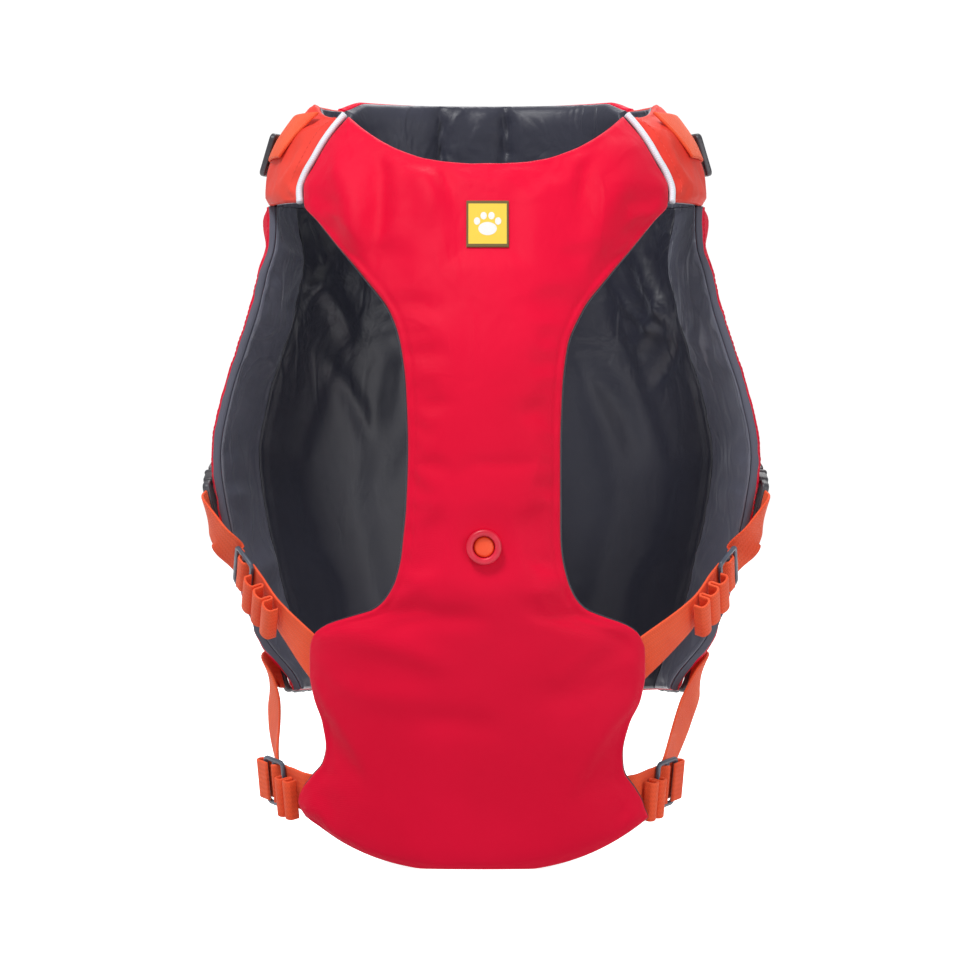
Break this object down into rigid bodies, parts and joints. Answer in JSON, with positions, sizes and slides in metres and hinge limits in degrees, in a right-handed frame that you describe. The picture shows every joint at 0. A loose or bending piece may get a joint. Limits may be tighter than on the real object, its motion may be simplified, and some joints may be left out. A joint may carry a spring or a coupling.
{
  "type": "dog life jacket",
  "caption": "Filled-out dog life jacket with a padded belly panel, a wrapped back with flanks and collar, webbing straps, sliders and side-release buckles.",
  "frame": {"origin": "the back lining's inner face, on the spine and half way along the back, where the jacket lies on the wearer's back", "axes": "+Z towards the neck, -Y towards the belly, +X to the right of the belly's view. Turned 90 degrees about X, it lies along a standing dog, with +Z forward and -Y down"},
  "size_m": [0.3556, 0.2651, 0.4774],
  "materials": {
    "red_cloth": "matte woven nylon, lightly padded",
    "coral_cloth": "matte woven nylon, lightly padded",
    "grey_lining": "smooth lining nylon, faint sheen",
    "orange_webbing": "ribbed nylon webbing",
    "silver_piping": "smooth light piping",
    "dark_plastic": "moulded acetal, satin",
    "red_plastic": "moulded ring, satin",
    "orange_plastic": "moulded disc, satin",
    "yellow_patch": "woven patch"
  },
  "bodies": {
    "root": {"back_shell": "red_cloth", "collar_shell": "red_cloth", "belly_panel": "red_cloth", "eyelet_ring": "red_plastic", "back_lining": "grey_lining", "collar_lining": "grey_lining", "belly_lining": "grey_lining", "girth_webbing_front": "orange_webbing", "girth_webbing_rear": "orange_webbing", "eyelet_disc": "orange_plastic", "chest_patch": "yellow_patch", "flank_shell_left": "red_cloth", "flank_lining_left": "grey_lining", "neck_side_left": "coral_cloth", "neck_side_lining_left": "grey_lining", "piping_left": "silver_piping", "shoulder_strap_left": "orange_webbing", "front_strap_left": "orange_webbing", "front_tail_left": "orange_webbing", "rear_strap_left": "orange_webbing", "rear_stub_left": "orange_webbing", "rear_loop_left": "orange_webbing", "rear_tail_left": "orange_webbing", "shoulder_buckle_left": "dark_plastic", "front_slider_left": "dark_plastic", "rear_slider_left": "dark_plastic", "front_buckle_left_socket": "dark_plastic", "front_buckle_left_tongue": "dark_plastic", "rear_buckle_left_socket": "dark_plastic", "rear_buckle_left_tongue": "dark_plastic", "flank_shell_right": "red_cloth", "flank_lining_right": "grey_lining", "neck_side_right": "coral_cloth", "neck_side_lining_right": "grey_lining", "piping_right": "silver_piping", "shoulder_strap_right": "orange_webbing", "front_strap_right": "orange_webbing", "front_tail_right": "orange_webbing", "rear_strap_right": "orange_webbing", "rear_stub_right": "orange_webbing", "rear_loop_right": "orange_webbing", "rear_tail_right": "orange_webbing", "shoulder_buckle_right": "dark_plastic", "front_slider_right": "dark_plastic", "rear_slider_right": "dark_plastic", "front_buckle_right_socket": "dark_plastic", "front_buckle_right_tongue": "dark_plastic", "rear_buckle_right_socket": "dark_plastic", "rear_buckle_right_tongue": "dark_plastic"}
  },
  "joints": []
}
